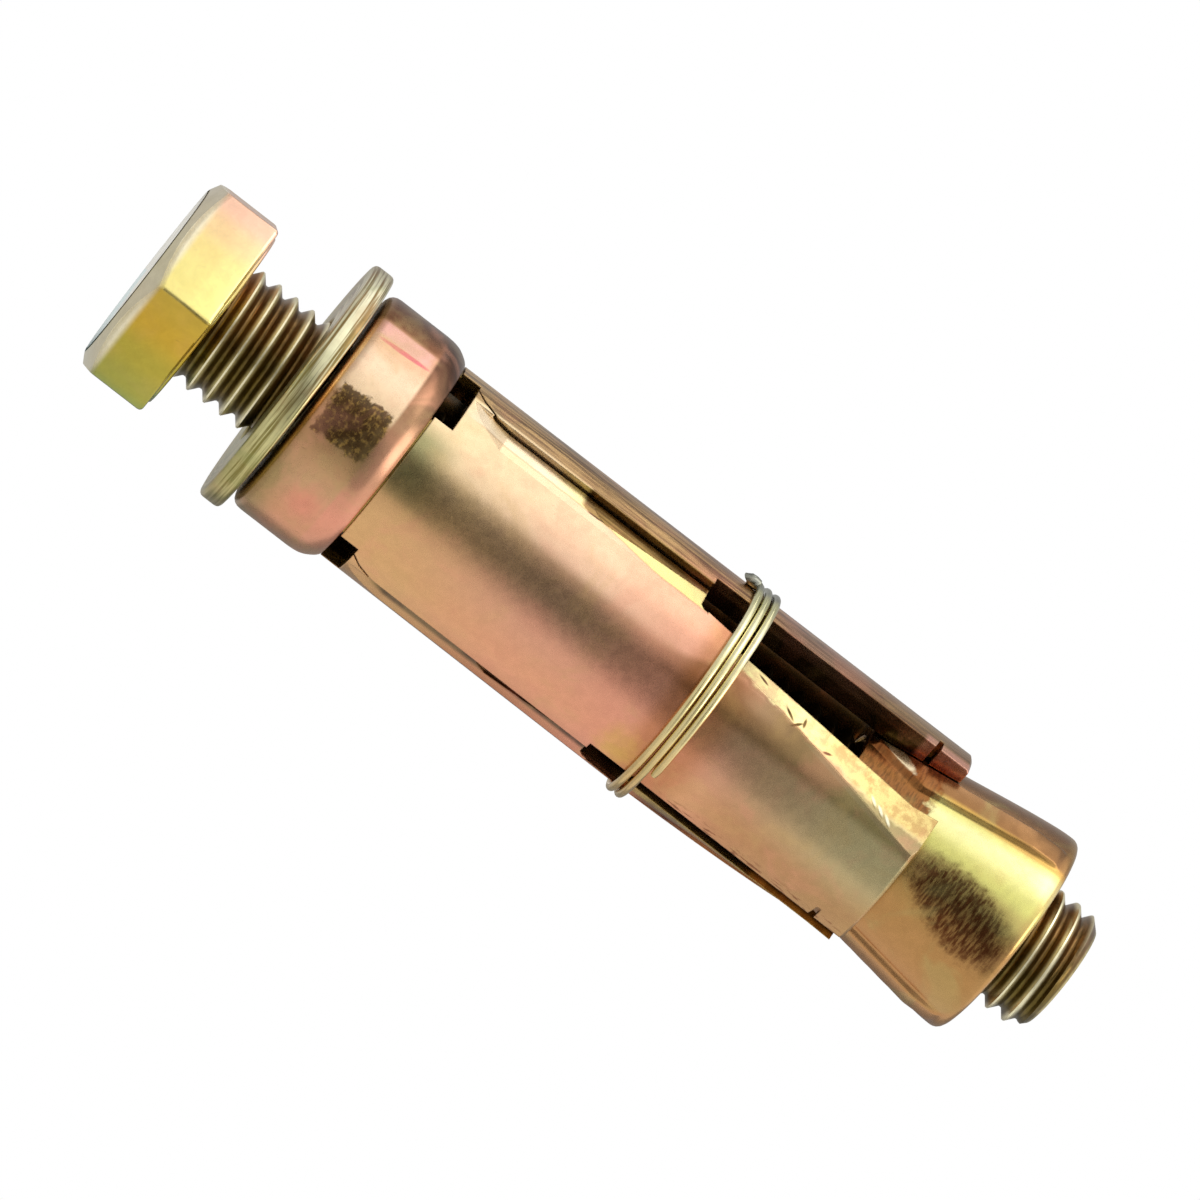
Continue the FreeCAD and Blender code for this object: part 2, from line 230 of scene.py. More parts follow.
# Drawn lines that run along the bolt or round it
grainGroup, grainIn, grainOut = newGroup("grain", [
    ("Flat", "Vector"), ("Stretch", "Vector"), ("Scale", "Float", 1.0), ("Low", "Float", 0.42),
    ("High", "Float", 0.6)], [("Mask", "Float")])
drawn = addNode(grainGroup, "VectorMath", {"operation": "MULTIPLY"}, {
    0: grainIn["Flat"], 1: grainIn["Stretch"]}).outputs[0]
grainCloud = cloud(grainGroup, drawn, grainIn["Scale"], 4.0, 0.6)
grainGroup.links.new(ranged(grainGroup, grainCloud, grainIn["Low"], grainIn["High"]), grainOut["Mask"])


def spot(tree, place, at, size, turn=0.0, fray=0.3, grain=1.2, soft=0.4):
    return useGroup(tree, spotGroup, Flat=place["Flat"], AngleAt=at[0], HeightAt=at[1], Wide=size[0],
                    Tall=size[1], Turn=turn, Fray=fray, Grain=grain, Soft=soft)["Mask"]


def grainLines(tree, place, stretch, scale, low, high):
    return useGroup(tree, grainGroup, Flat=place["Flat"], Stretch=stretch, Scale=scale, Low=low,
                    High=high)["Mask"]


# Yellow zinc: a colour by angle from the viewer's side, partly the plating's tint and partly painted
# highlight and shade bands, then what paint() lays over it
zinc = {"relief": 0.012, "bump": 0.35, "scratchTone": 0x4A3018, "scratchShow": 0.45, "scratchDepth": 0.5,
        "scratchLean": 12.0}


def platedMaterial(name, tones, warm, cool, shift, rough, scratches=0.4, paint=None, softEdge=0.0):
    material = bpy.data.materials.new(name)
    material.use_nodes = True
    tree = material.node_tree
    shader = tree.nodes["Principled BSDF"]
    place = useGroup(tree, placeGroup)
    base = angleRamp(tree, place["Angle"], tones, "EASE")
    if paint:
        base = paint(tree, place, base)
    plated = useGroup(tree, platingGroup, Point=place["Point"], Colour=base, Warm=linear(warm),
                      Cool=linear(cool), Shift=shift, Rough=rough)
    marks = useGroup(tree, scratchGroup, Flat=place["Flat"], Density=scratches,
                     Lean=zinc["scratchLean"])["Mask"]
    colour = over(tree, plated["Colour"], marks, zinc["scratchShow"], linear(zinc["scratchTone"]))
    tree.links.new(colour, shader.inputs["Base Color"])
    tree.links.new(plated["Roughness"], shader.inputs["Roughness"])
    shader.inputs["Metallic"].default_value = 1.0
    height = calc(tree, "SUBTRACT", plated["Height"], calc(tree, "MULTIPLY", marks, zinc["scratchDepth"]))
    bump = addNode(tree, "Bump", None, {
        "Strength": zinc["bump"], "Distance": zinc["relief"] * mm, "Height": height})
    if softEdge:
        softened = addNode(tree, "Bevel", {"samples": 4}, {"Radius": softEdge * mm})
        tree.links.new(softened.outputs[0], bump.inputs["Normal"])
    tree.links.new(bump.outputs[0], shader.inputs["Normal"])
    return material


# Finish of the shield segments
# Tones by angle from the viewer: partly the plating's tint, partly painted light: the pale stops from 14 to
# 46 degrees are a painted highlight, the darker stops near 0 a painted dark band, and the dark purple stops
# at -92 and 92 painted shade along the sides
shieldLook = {
    "tones": [
        (-180, 0xD0A870), (-92, 0x70484C), (-84, 0xC8845C), (-76, 0xD89468), (-50, 0xF0AC84), (-20, 0xE6A888),
        (-4, 0xC49C78), (7, 0xCCA07C), (14, 0xFFD2AE), (46, 0xFFD2AA), (58, 0xC8A070), (84, 0xA08058),
        (92, 0x6E4C50), (180, 0xD0A870)],
    "warm": 0xF0A084, "cool": 0xD8B474, "shift": 0.25, "rough": 0.27, "softEdge": 0.16}
shieldTones = {
    "golden": 0xE3B878, "goldenPale": 0xFFE6B4, "greenShade": 0x9EA068, "dimShade": 0x8A7A50, "nearRing": 0xF0A084,
    "ringShade": 0xB87440, "gilt": 0xE0B45C, "olive": 0xC8A47C, "oliveEnd": 0xD0C490, "copper": 0xCC9468,
    "copperEnd": 0xBC9464, "bevel": 0xF6EAA4, "bevelSpot": 0xE4CC94, "bevelEnd": 0xE4CC84,
    "bevelEndSpot": 0xC8A468, "beside": 0xC8C4B4, "facet": 0xA4946A, "crack": 0x4C381C, "ridgeShade": 0x6C6038,
    "ridgeGlint": 0xFFFCE0, "fold": 0x9C6A48, "stripHighlight": 0xFFE8C4, "stripEnd": 0xFFF29C, "foldLine": 0xB8885C,
    "dashes": 0x7A4024, "drawn": 0xD8AC70, "drawnDark": 0x704A24, "worn": 0xC4967A, "wornDark": 0x86604C,
    "wornEnd": 0xA87850, "wornEndDark": 0x74482C, "seamShade": 0x6E4C2A, "ledge": 0xA07C48,
    "ledgeDark": 0x6A4A26, "ledgeShadeLine": 0x4A3218, "sliver": 0x4A3420, "sliverGold": 0xD8B868,
    "sliverSpot": 0xB89450, "edges": 0xC8A850, "inside": 0x463818, "pinkEnd": 0xF8B8A0}
cracks = (  # angle, height, turn, half length
    (21.6, 65.0, 35.0, 0.95), (19.2, 66.0, -50.0, 0.85), (22.6, 66.5, 80.0, 0.7), (28.0, 61.6, 20.0, 0.8),
    (17.0, 69.5, -20.0, 0.6))


def paintBody(tree, place, base, tone):
    height, angle = place["Height"], place["Angle"]
    golden = mixed(tree, frontFade(tree, angle, -10.0, 20.0), tone["golden"], tone["goldenPale"])
    base = over(tree, base, ranged(tree, height, 44.0, 28.0), 0.7, golden)
    # Painted shade: darker olive and dim brown on the front of the sleeve just above the collar
    greenShade = both(tree, ranged(tree, height, 31.0, 26.6), between(tree, angle, -8.0, 24.0, 8.0))
    base = over(tree, base, greenShade, 0.75, tone["greenShade"])
    dimShade = both(tree, ranged(tree, height, 34.0, 28.0), between(tree, angle, -14.0, 8.0, 4.0))
    base = over(tree, base, dimShade, 0.6, tone["dimShade"])
    nearRing = both(tree, ranged(tree, height, 44.0, 55.0), ranged(tree, height, 62.0, 58.0))
    base = over(tree, base, nearRing, 0.6, tone["nearRing"])
    # Painted shade: brown round the spring ring's seat
    ringShade = both(tree, ranged(tree, height, 54.6, 56.6), ranged(tree, height, 63.5, 60.0))
    base = over(tree, base, ringShade, 0.6, tone["ringShade"])
    gilt = spot(tree, place, (-48.0, 55.5), (3.6, 3.0), 0.0, 0.2, 0.8, 0.9)
    base = over(tree, base, gilt, 0.7, tone["gilt"])
    toEnd = ranged(tree, height, 64.0, 78.0)
    olive = mixed(tree, toEnd, tone["olive"], tone["oliveEnd"])
    copper = mixed(tree, toEnd, tone["copper"], tone["copperEnd"])
    tan = mixed(tree, frontFade(tree, angle, -45.0, -14.0), copper, olive)
    return over(tree, base, ranged(tree, height, 61.0, 67.0), 0.9, tan)


def paintBevel(tree, place, base, tone, wavy, mottled):
    height, angle = place["Height"], place["Angle"]
    bendAngle = ranged(tree, height, 58.3, 76.0, 23.0, 10.0, False)
    fromBend = calc(tree, "ADD", calc(tree, "SUBTRACT", angle, bendAngle), wavy)
    bevel = both(tree, ranged(tree, height, 57.5, 59.5), ranged(tree, fromBend, -2.0, 3.5),
                 ranged(tree, angle, 60.0, 50.0))
    bevelTone = mixed(tree, ranged(tree, height, 65.0, 71.0),
                      mixed(tree, mottled, tone["bevel"], tone["bevelSpot"]),
                      mixed(tree, mottled, tone["bevelEnd"], tone["bevelEndSpot"]))
    base = over(tree, base, bevel, 0.92, bevelTone)
    # A darker band beside it
    besideTo = ranged(tree, height, 52.0, 60.0, 7.0, 17.0)
    fromBeside = calc(tree, "SUBTRACT", angle, besideTo)
    beside = both(tree, ranged(tree, angle, -5.0, 2.0), ranged(tree, fromBend, 0.5, -1.5),
                  ranged(tree, height, 51.0, 57.0), ranged(tree, fromBeside, 5.0, 0.0))
    base = mixed(tree, beside, base, tone["beside"], "MULTIPLY")
    # Painted shade: a darker facet below the bend towards the end
    facetFrom = ranged(tree, height, 60.0, 80.5, 22.0, -1.0, False)
    lowFacetShade = both(tree, ranged(tree, calc(tree, "SUBTRACT", angle, facetFrom), -0.5, 0.5),
                    ranged(tree, fromBend, 1.0, -2.0), ranged(tree, height, 66.0, 70.0))
    base = over(tree, base, lowFacetShade, 0.85, tone["facet"])
    for crackAngle, crackHeight, crackTurn, long in cracks:
        crack = spot(tree, place, (crackAngle, crackHeight), (0.19, long), crackTurn, 0.05, 2.0, 0.6)
        base = mixed(tree, crack, base, tone["crack"])
    # Three small ridges, each with a painted highlight and painted shade beside it
    for step in range(3):
        ridgeAngle, ridgeHeight = 12.5 - 1.9 * step, 75.0 + 0.95 * step
        ridgeShade = spot(tree, place, (ridgeAngle - 1.3, ridgeHeight + 0.1), (0.16, 0.62), 38.0, 0.05, 2.0, 0.7)
        base = over(tree, base, ridgeShade, 0.7, tone["ridgeShade"])
        ridgeGlint = spot(tree, place, (ridgeAngle, ridgeHeight), (0.2, 0.7), 38.0, 0.05, 2.0, 0.7)
        base = over(tree, base, ridgeGlint, 0.6, tone["ridgeGlint"])
    # Painted shade: a darker line along the bend
    fold = both(tree, ranged(tree, calc(tree, "ABSOLUTE", fromBend), 1.6, 0.4),
                ranged(tree, height, 58.0, 60.0), ranged(tree, height, 72.0, 66.0))
    return over(tree, base, fold, 0.55, tone["fold"])


def paintStrip(tree, place, base, tone, wavy):
    # The flat strip beside the seam, painted pale as a highlight, and painted shade as a darker line along
    # its fold
    height, angle = place["Height"], place["Angle"]
    stripFrom = ranged(tree, height, 41.5, 50.0, 43.4, 37.0)
    fromStrip = calc(tree, "SUBTRACT", calc(tree, "MULTIPLY_ADD", wavy, 0.25, angle), stripFrom)
    # Painted highlight: the flat strip painted pale cream and yellow
    stripHighlight = both(tree, ranged(tree, fromStrip, -0.7, 0.7), ranged(tree, angle, 57.0, 55.0),
                 between(tree, height, 28.5, 54.4, 1.0))
    stripTone = mixed(tree, ranged(tree, height, 36.0, 43.0), tone["stripHighlight"], tone["stripEnd"])
    base = over(tree, base, stripHighlight, 0.9, stripTone)
    # Painted shade: a darker line along the fold
    foldLine = both(tree, between(tree, height, 30.0, 53.5, 1.5),
                    ranged(tree, calc(tree, "ABSOLUTE", fromStrip), 1.1, 0.3))
    return over(tree, base, foldLine, 0.35, tone["foldLine"])


def paintNeighbour(tree, place, base, tone, darkLines):
    height, angle = place["Height"], place["Angle"]
    dashes = both(tree, between(tree, height, 61.0, 80.0, 1.5), between(tree, angle, -69.0, -53.0, 3.0),
                  grainLines(tree, place, (3.0, 0.7, 1.0), 0.9, 0.52, 0.62))
    base = over(tree, base, dashes, 0.75, tone["dashes"])
    drawnTone = mixed(tree, darkLines, tone["drawn"], tone["drawnDark"])
    worn = mixed(tree, darkLines, tone["worn"], tone["wornDark"])
    wornEnd = mixed(tree, darkLines, tone["wornEnd"], tone["wornEndDark"])
    worn = mixed(tree, ranged(tree, height, 64.0, 72.0), worn, wornEnd)
    drawnTone = mixed(tree, ranged(tree, height, 58.0, 62.0), drawnTone, worn)
    # Painted shade: the neighbour darker next to the seam
    seamShade = both(tree, ranged(tree, angle, 65.0, 58.0), ranged(tree, height, 57.0, 54.0))
    drawnTone = over(tree, drawnTone, seamShade, 0.6, tone["seamShade"])
    upperPiece = both(tree, ranged(tree, angle, 56.5, 59.0), ranged(tree, angle, 104.0, 80.0))
    return over(tree, base, upperPiece, 0.85, drawnTone)


def paintLedge(tree, place, base, tone, wavy, darkLines):
    height, angle = place["Height"], place["Angle"]
    ledgeFrom = ranged(tree, height, 41.0, 53.5, 42.5, 50.5, False)
    fromLedge = calc(tree, "SUBTRACT", calc(tree, "MULTIPLY_ADD", wavy, 0.3, angle), ledgeFrom)
    startBend = calc(tree, "MULTIPLY", ranged(tree, fromLedge, 3.0, 0.0), 0.8)
    span = between(tree, calc(tree, "SUBTRACT", height, startBend), 40.6, 54.5, 0.3)
    ledge = both(tree, span, ranged(tree, fromLedge, -0.3, 0.3), ranged(tree, angle, 58.0, 57.0))
    base = over(tree, base, ledge, 0.95, mixed(tree, darkLines, tone["ledge"], tone["ledgeDark"]))
    # Painted shade: a dark line along the ledge's step
    ledgeShadeLine = both(tree, span, ranged(tree, calc(tree, "ABSOLUTE", fromLedge), 0.9, 0.4))
    return over(tree, base, ledgeShadeLine, 0.85, tone["ledgeShadeLine"])


def paintEdges(tree, place, base, tone, mottled):
    # Cut faces, the inside, and the neighbour's end; a dark painted shade in the lower joint's opening, paler
    # paint as a highlight on the cut faces by the windows, and painted shade inside
    height, angle, radius = place["Height"], place["Angle"], place["Radius"]
    # Painted shade: dark in the thin opening at the lower joint below a height of 56, gold above 60
    sliver = both(tree, ranged(tree, radius, 9.8, 9.6), ranged(tree, angle, -50.0, -58.0))
    gold = mixed(tree, mottled, tone["sliverGold"], tone["sliverSpot"])
    base = over(tree, base, sliver, 0.9, mixed(tree, ranged(tree, height, 56.0, 60.0), tone["sliver"], gold))
    # Painted highlight: the cut faces by the windows painted pale gold
    edges = both(tree, ranged(tree, radius, 9.85, 9.6), ranged(tree, height, 33.0, 29.0))
    base = over(tree, base, edges, 0.8, tone["edges"])
    # Painted shade: the inside of the segments painted dark
    base = over(tree, base, ranged(tree, radius, 9.3, 8.9), 0.9, tone["inside"])
    pinkEnd = both(tree, ranged(tree, height, 75.6, 76.2), between(tree, angle, 51.0, 67.0, 2.0))
    return over(tree, base, pinkEnd, 0.85, tone["pinkEnd"])


def shieldPaint(tree, place, base):
    tone = toned(shieldTones)
    wavy = wander(tree, place["Flat"], 0.7, 3.0, 0.5, 7.0)
    mottled = ranged(tree, cloud(tree, place["Flat"], 0.9, 4.0, 0.6), 0.42, 0.62)
    darkLines = grainLines(tree, place, (2.2, 0.09, 1.0), 1.0, 0.42, 0.6)
    base = paintBody(tree, place, base, tone)
    base = paintBevel(tree, place, base, tone, wavy, mottled)
    base = paintStrip(tree, place, base, tone, wavy)
    base = paintNeighbour(tree, place, base, tone, darkLines)
    base = paintLedge(tree, place, base, tone, wavy, darkLines)
    return paintEdges(tree, place, base, tone, mottled)


shieldFinish = platedMaterial("shieldPlating", paint=shieldPaint, **shieldLook)

# Finish of the collar
# Tones by angle from the viewer: partly the plating's tint, partly painted light: the pale stops from 14 to
# 42 degrees are a painted highlight and the brown stops from 57 to 90 painted shade towards 90 degrees
collarLook = {
    "tones": [
        (-180, 0xD8A878), (-90, 0xB88860), (-60, 0xE0A078), (-35, 0xDCA880), (-10, 0xC09468), (8, 0xCC9C70),
        (14, 0xFFDEB4), (30, 0xFFDEBA), (42, 0xF8C8A2), (52, 0xE8AC88), (57, 0x86583A), (90, 0x704A34),
        (180, 0xD8A878)],
    "warm": 0xF0A888, "cool": 0xC8AC74, "shift": 0.35, "rough": 0.28}
collarTones = {
    "blush": 0xF09A80, "patch": 0x523A1C, "patchSpeck": 0xB8924C, "pinkBand": 0xFFC4BC, "streak": 0xEE7C84,
    "olive": 0x9C8C58, "rim": 0x9A7444}
# The lip's tones by angle are painted reflection and shade: salmon below, going dark brown towards 50 degrees
lipShadeTones = [
    (-72.0, 0xD89C78), (-39.6, 0xF4A488), (-14.4, 0xD09878), (3.6, 0xC08C70), (19.8, 0x9C7050),
    (34.2, 0x7C5438), (50.4, 0x58392A), (81.0, 0x644634)]


def collarPaint(tree, place, base):
    height, angle = place["Height"], place["Angle"]
    tone = toned(collarTones)
    blush = spot(tree, place, (-42.0, 22.0), (2.6, 2.6), 0.0, 0.15, 0.7, 0.9)
    base = over(tree, base, blush, 0.75, tone["blush"])
    specks = grainLines(tree, place, (1.6, 1.6, 1.0), 1.5, 0.48, 0.66)
    frayed = wander(tree, place["Flat"], 1.3, 5.0, 0.65, 1.0)
    patch = both(tree, between(tree, calc(tree, "MULTIPLY_ADD", frayed, 9.0, angle), -10.0, 15.0, 0.9),
                 between(tree, calc(tree, "MULTIPLY_ADD", frayed, 2.2, height), 18.4, 23.6, 0.2))
    base = over(tree, base, patch, 0.9, mixed(tree, specks, tone["patch"], tone["patchSpeck"]))
    pinkBand = both(tree, between(tree, angle, 45.0, 54.0, 1.2), between(tree, height, 18.2, 23.4, 0.5))
    base = over(tree, base, pinkBand, 0.6, tone["pinkBand"])
    streak = spot(tree, place, (43.5, 21.1), (0.3, 3.1), -3.4, 0.06, 1.4, 0.5)
    base = over(tree, base, streak, 0.9, tone["streak"])
    # Painted reflection and shade on the rolled lip
    lip = both(tree, ranged(tree, height, 23.55, 23.95), between(tree, angle, -135.0, 135.0, 35.0))
    base = over(tree, base, lip, 0.9, angleRamp(tree, angle, lipShadeTones))
    olive = both(tree, ranged(tree, height, 21.0, 18.4), between(tree, angle, -130.0, -25.0, 13.0))
    base = over(tree, base, olive, 0.7, tone["olive"])
    return over(tree, base, ranged(tree, height, 18.5, 17.7), 0.5, tone["rim"])


collarFinish = platedMaterial("collarPlating", paint=collarPaint, **collarLook)

# Finish of the head
# Tones by angle from the viewer: the bright stops from -1 to 66 degrees paint the upper facets lit, and the
# darker gold and olive stops below paint the lower facets in shade
headLook = {
    "tones": [
        (-180, 0xD8B868), (-92, 0xA0A888), (-66, 0x98A868), (-56, 0xB4AE52), (-40, 0xC2B048), (-20, 0xD8B040),
        (-3, 0xD2B048), (-1, 0xFFEE96), (14, 0xFFEE98), (28, 0xFFE698), (42, 0xFFDCA4), (54, 0xFFCEB0),
        (66, 0xFFD2B4), (180, 0xD8B868)],
    "warm": 0xF0B880, "cool": 0xC8B450, "shift": 0.1, "rough": 0.24}
headTones = {"face": 0x9C927C, "facePale": 0xD8D4BC, "faceBlue": 0x9CB8B4, "chamfer": 0xFFF4D4}


def headPaint(tree, place, base):
    height, angle = place["Height"], place["Angle"]
    tone = toned(headTones)
    face = ranged(tree, height, 0.12, 0.03)
    flow = ranged(tree, cloud(tree, place["Point"], 0.35, 4.0, 0.6, 1.5), 0.35, 0.65)
    dull = mixed(tree, flow, tone["face"], tone["facePale"])
    dull = mixed(tree, ranged(tree, angle, -20.0, -70.0), dull, tone["faceBlue"])
    base = mixed(tree, face, base, dull)
    # Painted highlight: the chamfer painted pale cream, where it sits in shade by the floor
    chamfer = both(tree, ranged(tree, height, 1.7, 1.0), calc(tree, "SUBTRACT", 1.0, face))
    return over(tree, base, chamfer, 0.92, tone["chamfer"])


boltFinish = platedMaterial("boltPlating", paint=headPaint, **headLook)

# Finish of the thread
threadLook = {
    "tones": [(-180, 0x94825A), (180, 0x94825A)],
    "warm": 0xB08C58, "cool": 0x8C8C58, "shift": 0.25, "rough": 0.3, "scratches": 0.0}
threadTones = {
    "groove": 0x70602F, "grooveWarm": 0x80603A, "grooveLines": 0x4E4020, "crestHighlight": 0xFAF0C8, "cut": 0xA4946A,
    "cutPale": 0xBEAE7E, "insideShade": 0x2C2410}


def threadPaint(tree, place, base):
    height, angle = place["Height"], place["Angle"]
    tone = toned(threadTones)
    # Painted shade in the grooves and painted highlight on the crests, chosen by radius
    grooves = mixed(tree, frontFade(tree, angle, -40.0, 40.0), tone["groove"], tone["grooveWarm"])
    lines = grainLines(tree, place, (0.35, 3.6, 1.0), 1.2, 0.42, 0.6)
    grooves = over(tree, grooves, lines, 0.5, tone["grooveLines"])
    base = mixed(tree, ranged(tree, place["Radius"], 5.45, 5.88), grooves, tone["crestHighlight"])
    sawn = ranged(tree, cloud(tree, place["Point"], 1.4, 4.0, 0.65, 0.8), 0.38, 0.62)
    cutEnd = mixed(tree, sawn, tone["cut"], tone["cutPale"])
    base = mixed(tree, ranged(tree, height, 97.7, 97.9), base, cutEnd)
    # Painted shade: the thread inside the shield painted nearly black
    return over(tree, base, between(tree, height, 27.5, 72.0, 0.6), 0.95, tone["insideShade"])


threadFinish = platedMaterial("threadPlating", paint=threadPaint, **threadLook)

# Finish of the washer
# Tones by angle from the viewer: partly the plating's tint, partly painted light: the pale stops from 20 to
# 60 degrees are a painted highlight, darker beyond
washerLook = {
    "tones": [
        (-180, 0xD8CC90), (-90, 0xB8A878), (-50, 0xC8BC80), (-10, 0xE4DCA0), (20, 0xF8F2C8), (60, 0xFCF6D4),
        (100, 0xB8A878), (180, 0xD8CC90)],
    "warm": 0xC8A070, "cool": 0xA0A868, "shift": 0.4, "rough": 0.3}
washerTones = {"turned": 0x8A7E44, "turnedWarm": 0x947A50}


def washerPaint(tree, place, base):
    tone = toned(washerTones)
    rings = addNode(tree, "CombineXYZ", None, {
        0: calc(tree, "MULTIPLY", place["Radius"], 4.6), 1: calc(tree, "MULTIPLY", place["Angle"], 0.02),
        2: calc(tree, "MULTIPLY", place["Height"], 4.2)}).outputs[0]
    lines = ranged(tree, cloud(tree, rings, 0.8, 3.0, 0.65), 0.4, 0.58)
    dark = mixed(tree, frontFade(tree, place["Angle"], -30.0, 60.0), tone["turned"], tone["turnedWarm"])
    return mixed(tree, lines, dark, base)


washerFinish = platedMaterial("washerPlating", paint=washerPaint, **washerLook)

# Finish of the expander nut
# Tones by angle from the viewer: partly the plating's tint, partly painted light: the pale yellow stops from
# 16 to 40 degrees are a painted highlight and the brown stops from 46 to 75 painted shade
nutLook = {
    "tones": [
        (-180, 0xD0B070), (-95, 0x94683E), (-60, 0xC89460), (-30, 0xC09058), (-12, 0xC89C5C), (8, 0xDCC878),
        (16, 0xF4EE8C), (34, 0xFFF8B4), (40, 0xF2E890), (46, 0xA0744A), (60, 0x98704A), (75, 0x8A6038),
        (95, 0xB0844C), (180, 0xD0B070)],
    "warm": 0xD8A068, "cool": 0xC0BC78, "shift": 0.25, "rough": 0.27}
nutTones = {
    "blotch": 0x5C2E18, "rim": 0xC79A62, "keyTintAndShade": 0x985C30, "keyTintAndShadeDark": 0x744222, "facet": 0xFFF0C8,
    "border": 0xE0A850}


def nutPaint(tree, place, base):
    height, angle = place["Height"], place["Angle"]
    tone = toned(nutTones)
    fibres = grainLines(tree, place, (0.5, 2.6, 1.0), 1.3, 0.44, 0.62)
    blotch = spot(tree, place, (-6.0, 86.6), (3.7, 6.8), 16.0, 0.18, 1.1, 0.42)
    blotch = both(tree, blotch, calc(tree, "SUBTRACT", 1.0, calc(tree, "MULTIPLY", fibres, 0.55)))
    base = over(tree, base, blotch, 0.95, tone["blotch"])
    base = over(tree, base, ranged(tree, height, 91.0, 91.9), 0.5, tone["rim"])
    # Copper brown on the key where it runs into the slot: partly its own colour, partly painted shade in the
    # slot
    ragged = wander(tree, place["Flat"], 0.9, 4.0, 0.6, 3.0)
    keyTintAndShade = both(tree, between(tree, calc(tree, "MULTIPLY_ADD", ragged, 2.0, angle), 10.0, 68.0, 1.5),
                between(tree, calc(tree, "ADD", height, ragged), 70.0, 79.4, 0.5))
    base = over(tree, base, keyTintAndShade, 0.95, mixed(tree, fibres, tone["keyTintAndShade"], tone["keyTintAndShadeDark"]))
    # Painted highlight: a cream glint on a facet of the key
    facet = spot(tree, place, (56.0, 74.7), (0.8, 3.0), 38.0, 0.1, 1.4, 0.3)
    base = over(tree, base, facet, 0.92, tone["facet"])
    border = both(tree, between(tree, angle, 41.0, 45.0, 1.5), ranged(tree, height, 79.0, 81.0))
    return over(tree, base, border, 0.6, tone["border"])


nutFinish = platedMaterial("nutPlating", paint=nutPaint, **nutLook)

# Finish of the spring ring
# Tones by angle from the viewer: partly the plating's tint, partly painted light: the pale stop at 40 degrees
# is a painted highlight and the grey stops from 76 to 90 painted shade towards 90 degrees
ringLook = {
    "tones": [
        (-180, 0xE8E0A0), (-60, 0xE0BC80), (0, 0xF4E4A8), (40, 0xFFF8CC), (66, 0xD8D4A4), (76, 0x96968A),
        (90, 0x8C8C80), (180, 0xD8CC88)],
    "warm": 0xD8A860, "cool": 0xB8B880, "shift": 0.3, "rough": 0.24, "scratches": 0.2}
ringFinish = platedMaterial("ringPlating", **ringLook)
print("materials made")


# Mesh helpers

def makePiece(name, verts, faces, material, body, slotName, nodes=(), sharp=35.0):
    mesh = bpy.data.meshes.new(name)
    mesh.from_pydata([Vector(v) * mm for v in verts], [], faces)
    work = bmesh.new()
    work.from_mesh(mesh)
    bmesh.ops.remove_doubles(work, verts=work.verts, dist=1e-6)
    bmesh.ops.dissolve_degenerate(work, edges=work.edges, dist=1e-7)
    bmesh.ops.recalc_face_normals(work, faces=work.faces)
    work.to_mesh(mesh)
    work.free()
    mesh.shade_smooth()
    mesh.set_sharp_from_angle(angle=math.radians(sharp))
    mesh.materials.append(material)
    piece = bpy.data.objects.new(name, mesh)
    bpy.context.scene.collection.objects.link(piece)
    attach(piece, body)
    if nodes:
        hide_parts(*nodes)


def rounded(corners, steps=4):
    # Closed profile of (radius, height, corner radius) with its corners rounded
    points = []
    for index, (r, z, size) in enumerate(corners):
        here = Vector((r, z))
        if not size:
            points.append((r, z))
            continue
        before = Vector(corners[index - 1][:2]) - here
        after = Vector(corners[(index + 1) % len(corners)][:2]) - here
        start = here + before.normalized() * min(size, before.length * 0.48)
        end = here + after.normalized() * min(size, after.length * 0.48)
        for k in range(steps + 1):
            t = k / steps
            p = start * (1 - t) ** 2 + here * 2 * t * (1 - t) + end * t ** 2
            points.append((p.x, p.y))
    return points


def refined(points, longest):
    # The same closed profile with its long sides divided
    result = []
    for a, b in zip(points, points[1:] + points[:1]):
        count = max(1, math.ceil(math.dist(a, b) / longest))
        for k in range(count):
            result.append((a[0] + (b[0] - a[0]) * k / count, a[1] + (b[1] - a[1]) * k / count))
    return result


def lathe(profile, count, swell=None):
    verts = []
    for step in range(count):
        turnAt = 2 * math.pi * step / count
        for r, z in profile:
            radius = r + (swell(turnAt, r, z) if swell else 0.0)
            verts.append((radius * math.cos(turnAt), radius * math.sin(turnAt), z))
    size = len(profile)
    faces = []
    for step in range(count):
        other = (step + 1) % count
        for k in range(size):
            after = (k + 1) % size
            faces.append((step * size + k, other * size + k, other * size + after, step * size + after))
    return verts, faces


def ringStack(rings, count):
    # Rings of (radius, height) functions of the angle, closed with a fan at both ends
    verts = []
    for radiusAt, heightAt in rings:
        for step in range(count):
            turnAt = 2 * math.pi * step / count
            r = radiusAt(turnAt)
            verts.append((r * math.cos(turnAt), r * math.sin(turnAt), heightAt(turnAt)))
    faces = []
    for level in range(len(rings) - 1):
        for step in range(count):
            other = (step + 1) % count
            a, b = level * count, (level + 1) * count
            faces.append((a + step, a + other, b + other, b + step))
    verts += [(0, 0, rings[0][1](0)), (0, 0, rings[-1][1](0))]
    low, high = len(verts) - 2, len(verts) - 1
    last = (len(rings) - 1) * count
    for step in range(count):
        other = (step + 1) % count
        faces.append((low, other, step))
        faces.append((high, last + step, last + other))
    return verts, faces


